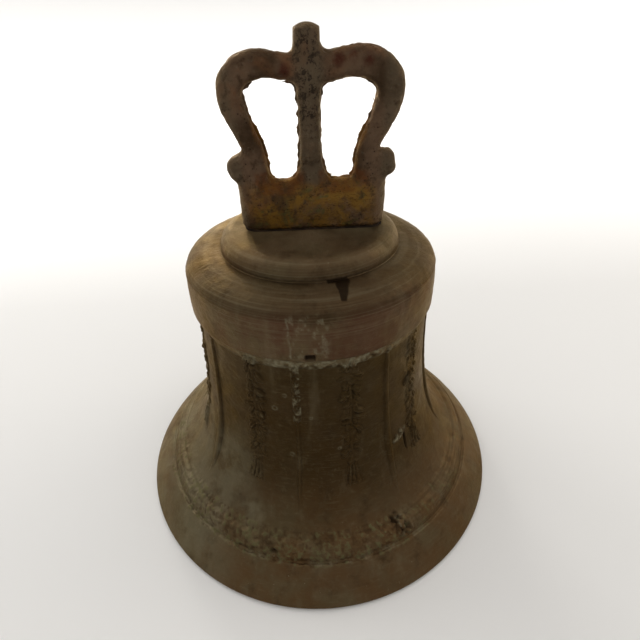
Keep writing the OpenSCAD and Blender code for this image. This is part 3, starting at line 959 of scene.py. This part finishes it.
def bell_deposits(p, colour):
    """Wear and a painted highlight on the relief's tops; grime and painted shade in the relief's and the
    crust's hollows; crust, chalk, specks, stains and dark pits; also how thick crust and chalk are.
    """
    # The relief's tops are painted paler: wear, and a painted highlight where light catches them.
    worn = p.ramp(p.attribute("raised"), 0.25, 1.2)
    worn = p.times(worn, p.ramp(p.noise(0.005, 4), 0.4, 0.62, 0.25, 1.0))
    colour = p.mix(p.times(worn, 0.7), colour, (0.105, 0.084, 0.046))
    # Grime and painted shade darken the relief's hollows.
    grime_and_shade = p.times(p.attribute("grime_and_shade"), p.ramp(p.noise(0.008, 3), 0.3, 0.6, 0.7, 1.2))
    colour = p.mix(p.times(p.ramp(grime_and_shade, 0.05, 0.9), 0.62), colour, (0.012, 0.007, 0.003))
    crust = p.times(p.ramp(p.attribute("crust"), 0.0, 0.5), p.ramp(p.noise(0.003, 5, 0.7), 0.4, 0.58))
    colour = p.mix(p.times(crust, 0.85), colour, (0.135, 0.122, 0.058))
    # The crust's hollows are painted dark: grime, and painted shade.
    hollows = p.ramp(p.attribute("crust"), -0.35, -0.04, 1, 0)
    hollows = p.times(hollows, p.ramp(p.noise(0.004, 4), 0.4, 0.58))
    colour = p.mix(p.times(hollows, 0.45), colour, (0.030, 0.014, 0.006))
    chalk = p.times(p.attribute("pale"), p.ramp(p.noise(0.0022, 4, 0.7), 0.32, 0.62, 0.15, 1.0))
    colour = p.mix(p.times(chalk, 0.9), colour, (0.24, 0.22, 0.145))
    specks = p.ramp(p.spots(0.0042), 0.05, 0.15, 1, 0)
    specks = p.times(specks, p.ramp(p.noise(0.03, 3), 0.57, 0.66, 0, 0.22))
    dots = p.times(p.ramp(p.noise(0.0034, 4, 0.75), 0.66, 0.72), p.attribute("dots"))
    colour = p.mix(p.math("MAXIMUM", specks, p.times(dots, 0.6)), colour, (0.30, 0.26, 0.18))
    # Near black over the drip stain and in the pits, holes and slot.
    colour = p.mix(p.times(p.attribute("stain_and_dark_pits"), 0.93), colour, (0.008, 0.004, 0.002))
    return colour, p.math("MAXIMUM", crust, chalk)


def bell_bronze():
    p = Paint("bell_bronze")
    colour, turned = bell_metal(p, height_of(p))
    colour, deposit = bell_deposits(p, colour)
    skin = p.ramp(p.noise(0.010, 5, 0.7), 0.3, 0.7, 0.36, 0.55)
    roughness = p.math("ADD", skin, p.times(deposit, 0.3))
    metallic = p.ramp(p.noise(0.02, 4), 0.35, 0.7, 0.85, 0.6)
    fine = p.bump(p.noise(0.0016, 6, 0.75), 0.00035, 0.8)
    turning = p.bump(turned, 0.0002, 0.3, fine)
    normal = p.bump(p.noise(0.009, 5, 0.6), 0.0010, 0.4, turning)
    dull_sheen(p)
    return p.finish(colour, roughness, metallic, normal)


def foot_colours(p, colour):
    """The golden patina, mould and cracks on the crown's foot, with the gold also as a painted glint on the
    windows' inner sides, and how deep the cracks are.
    """
    gold_and_glint = p.attribute("gold_and_glint")
    # Gold over the foot's patina, and as a painted glint on the windows' inner sides.
    gilt_and_glint = p.times(gold_and_glint, p.ramp(p.noise(0.013, 6, 0.65), 0.36, 0.6, 0.1, 1.0))
    colour = p.mix(p.times(gilt_and_glint, 0.85), colour, (0.200, 0.104, 0.017))
    mould = p.ramp(p.noise(0.009, 6, 0.7, distortion=0.8), 0.54, 0.62, 0, 0.7)
    colour = p.mix(p.times(gold_and_glint, mould), colour, (0.085, 0.078, 0.026))
    crazing = p.noise(0.011, 3, 0.6, stretch=(0.5, 0.5, 3.0), distortion=1.2)
    cracks = p.times(p.ramp(crazing, 0.485, 0.5), p.ramp(crazing, 0.5, 0.515, 1, 0))
    cracks = p.times(cracks, p.times(gold_and_glint, 0.8))
    return p.mix(cracks, colour, (0.035, 0.016, 0.006)), cracks


def crown_bronze():
    p = Paint("crown_bronze")
    brown, dark, olive = (0.118, 0.074, 0.046), (0.044, 0.026, 0.014), (0.104, 0.077, 0.049)
    colour = p.mix(p.ramp(p.noise(0.03, 4), 0.4, 0.62), brown, dark)
    reddened = p.ramp(p.noise(0.02, 5, distortion=0.5), 0.52, 0.7, 0, 0.7)
    colour = p.mix(reddened, colour, (0.150, 0.068, 0.032))
    green = p.times(p.attribute("green"), p.ramp(p.noise(0.012, 5), 0.3, 0.6, 0.4, 0.9))
    colour, cracks = foot_colours(p, p.mix(green, colour, olive))
    ember = p.times(p.attribute("ember"), p.ramp(p.noise(0.008, 4), 0.35, 0.6, 0.2, 1.0))
    colour = p.mix(p.times(ember, 0.6), colour, (0.125, 0.040, 0.010))
    colour = p.mix(p.ramp(p.noise(0.006, 6, 0.7), 0.5, 0.68, 0, 0.8), colour, dark)
    patches = p.times(p.attribute("patches"), p.ramp(p.noise(0.006, 4), 0.35, 0.55, 0.2, 0.9))
    colour = p.mix(patches, colour, (0.055, 0.014, 0.008))
    pocked = p.times(p.attribute("pocks"), p.ramp(p.noise(0.0028, 5, 0.75), 0.5, 0.58))
    colour = p.mix(p.times(pocked, 0.85), colour, (0.014, 0.010, 0.008))
    colour = p.mix(p.ramp(p.noise(0.0025, 4, 0.7), 0.56, 0.8, 0, 0.4), colour, (0.16, 0.14, 0.10))
    pits = p.times(p.ramp(p.spots(0.0022), 0.12, 0.3, 1, 0), p.ramp(p.noise(0.012, 4), 0.5, 0.62))
    colour = p.mix(p.times(pits, 0.8), colour, (0.010, 0.007, 0.005))
    roughness = p.ramp(p.noise(0.008, 5, 0.7), 0.3, 0.7, 0.40, 0.62)
    metallic = p.ramp(p.noise(0.015, 4), 0.35, 0.7, 0.8, 0.55)
    fine = p.bump(p.noise(0.0014, 6, 0.75), 0.0006, 1.0)
    pitted = p.bump(p.math("MAXIMUM", pits, p.math("MAXIMUM", pocked, cracks)), 0.0007, -0.9, fine)
    normal = p.bump(p.noise(0.005, 5, 0.65), 0.0014, 0.8, pitted)
    dull_sheen(p)
    return p.finish(colour, roughness, metallic, normal)


def rusty_iron():
    p = Paint("rusty_iron")
    colour = p.mix(p.ramp(p.noise(0.012, 5), 0.4, 0.62), (0.055, 0.046, 0.040), (0.105, 0.045, 0.022))
    colour = p.mix(p.ramp(p.noise(0.004, 5, 0.7), 0.55, 0.7, 0, 0.7), colour, (0.20, 0.085, 0.035))
    roughness = p.ramp(p.noise(0.006, 4), 0.3, 0.7, 0.55, 0.8)
    metallic = p.ramp(p.noise(0.01, 4), 0.4, 0.65, 0.65, 0.15)
    normal = p.bump(p.noise(0.003, 6, 0.7), 0.0008, 0.6)
    return p.finish(colour, roughness, metallic, normal)


def pin_steel():
    p = Paint("pin_steel")
    colour = p.mix(p.ramp(p.noise(0.008, 5), 0.42, 0.66), (0.30, 0.28, 0.26), (0.13, 0.085, 0.055))
    roughness = p.ramp(p.noise(0.003, 4), 0.3, 0.7, 0.32, 0.55)
    normal = p.bump(p.noise(0.0012, 5, 0.7, stretch=(1, 6, 1)), 0.0002, 0.5)
    return p.finish(colour, roughness, 0.9, normal)


def bush_brass():
    p = Paint("bush_brass")
    colour = p.mix(p.ramp(p.noise(0.006, 4), 0.4, 0.65), (0.50, 0.34, 0.13), (0.26, 0.17, 0.07))
    roughness = p.ramp(p.noise(0.003, 4), 0.3, 0.7, 0.28, 0.48)
    normal = p.bump(p.noise(0.001, 4), 0.0001, 0.4)
    return p.finish(colour, roughness, 0.95, normal)


def packing_leather():
    p = Paint("packing_leather")
    colour = p.mix(p.ramp(p.noise(0.005, 5), 0.4, 0.65), (0.018, 0.011, 0.007), (0.040, 0.024, 0.014))
    roughness = p.ramp(p.noise(0.002, 4), 0.3, 0.7, 0.6, 0.85)
    normal = p.bump(p.spots(0.0012), 0.0004, 0.6)
    p.shader.inputs["Specular IOR Level"].default_value = 0.15
    return p.finish(colour, roughness, 0.0, normal)


def floor_paint():
    p = Paint("floor_paint")
    p.shader.inputs["Base Color"].default_value = (0.84, 0.84, 0.84, 1)
    p.shader.inputs["Roughness"].default_value = 0.9
    return p.material


def coat(pieces, material):
    """Gives every piece the one material."""
    for piece in pieces:
        piece.data.materials.clear()
        piece.data.materials.append(material)


# ---- scene ----

shell = make_shell()
crown = make_crown()
coat([shell], bell_bronze())
coat([crown], crown_bronze())

# Each maker has its slot's name, and coats the CAD's own pieces in that slot.
slot_of = {entry["node"]: entry["material_slot"] for entry in frame["record"]["subparts"]}
for maker in (rusty_iron, pin_steel, bush_brass, packing_leather):
    coat([piece for node, piece in frame["nodes"].items() if slot_of[node] == maker.__name__], maker())

# The camera's place, as its distance in front of the bell's axis and above the mouth, in mouth radii
CAMERA_FRONT, CAMERA_UP = 1.8602, 2.235
YAW, PITCH, ROLL = 0.0183, 0.6172, -0.0346  # radians to the right, down, and about the view's axis


def add_camera():
    """The photograph's view, looking down at the front of the bell from close by."""
    lens = bpy.data.cameras.new("photo_camera")
    lens.sensor_width = 36
    lens.lens = 24.59
    lens.clip_start = 0.01
    camera = add_object("photo_camera", lens)
    SCENE.camera = camera
    forward = Vector((math.cos(PITCH) * math.sin(YAW), math.cos(PITCH) * math.cos(YAW), -math.sin(PITCH)))
    level_right = Vector((math.cos(YAW), -math.sin(YAW), 0))
    level_up = level_right.cross(forward)
    right = math.cos(ROLL) * level_right + math.sin(ROLL) * level_up
    up = -math.sin(ROLL) * level_right + math.cos(ROLL) * level_up
    mouth = MOUTH_R * MM
    place = Matrix.Translation((0, -CAMERA_FRONT * mouth, CAMERA_UP * mouth))
    camera.matrix_world = place @ Matrix((right, up, -forward)).transposed().to_4x4()


add_camera()


def area_light(name, place, target, size, power, colour):
    data = bpy.data.lights.new(name, "AREA")
    data.shape = "RECTANGLE"
    data.size, data.size_y = size
    data.energy = power
    data.color = colour
    light = add_object(name, data)
    light.location = place
    light.rotation_euler = (Vector(target) - Vector(place)).to_track_quat("-Z", "Y").to_euler()


area_light("ceiling", (0, 0.4, 6.0), (0, 0.4, 0), (16, 16), 500, (1.0, 0.98, 0.95))
area_light("left_window", (-1.3, 0.8, 0.9), (0, 0, 0.15), (0.8, 0.7), 5.5, (1.0, 0.97, 0.92))
area_light("right_window", (1.4, 0.5, 0.8), (0, 0, 0.12), (0.9, 0.8), 4.5, (1.0, 0.93, 0.82))
area_light("back_window", (-0.6, 1.6, 0.66), (0, 0, 0.18), (0.5, 0.35), 7, (1.0, 0.97, 0.90))
area_light("backdrop", (0, 1.2, 2.4), (0, 6.5, 0.3), (9, 3), 230, (1.0, 0.98, 0.95))


def add_sky():
    """A room that is brighter behind the bell than in front of it."""
    world = bpy.data.worlds.new("studio")
    world.use_nodes = True
    nodes, links = world.node_tree.nodes, world.node_tree.links
    direction = nodes.new("ShaderNodeTexCoord")
    parts = nodes.new("ShaderNodeSeparateXYZ")
    links.new(direction.outputs["Generated"], parts.inputs[0])
    brightness = nodes.new("ShaderNodeMapRange")
    for label, number in {"From Min": -0.8, "From Max": 0.9, "To Min": 0.08, "To Max": 0.45}.items():
        brightness.inputs[label].default_value = number
    links.new(parts.outputs["Y"], brightness.inputs["Value"])
    links.new(brightness.outputs["Result"], nodes["Background"].inputs["Strength"])
    nodes["Background"].inputs["Color"].default_value = (1.0, 0.96, 0.90, 1)
    SCENE.world = world


add_sky()
SCENE.view_settings.view_transform = "Standard"

FLOOR_FLAT = 2.2  # metres from the middle, out to where the floor starts to rise
FLOOR_SIDES = 96


def make_floor():
    """A pale floor that curves slowly up all round."""
    profile = [(0.4, 0.0), (1.2, 0.0), (FLOOR_FLAT, 0.0)]
    profile += [(radius, 0.045 * (radius - FLOOR_FLAT) ** 2) for radius in np.linspace(2.8, 10, 13)]
    profile.append((10.5, 5.2))
    angles = [2 * math.pi * n / FLOOR_SIDES for n in range(FLOOR_SIDES)]
    verts = [(0, 0, 0)]
    for radius, level in profile:
        verts += [(radius * math.cos(angle), radius * math.sin(angle), level) for angle in angles]
    faces = [(0, 1 + n, 1 + (n + 1) % FLOOR_SIDES) for n in range(FLOOR_SIDES)]
    faces += ring_faces(1 + np.arange(len(profile) * FLOOR_SIDES).reshape(-1, FLOOR_SIDES))
    floor = add_smooth("floor", verts, faces)
    floor.location.z = -0.0003  # just under the mouth, so that the two don't share a plane
    coat([floor], floor_paint())


make_floor()
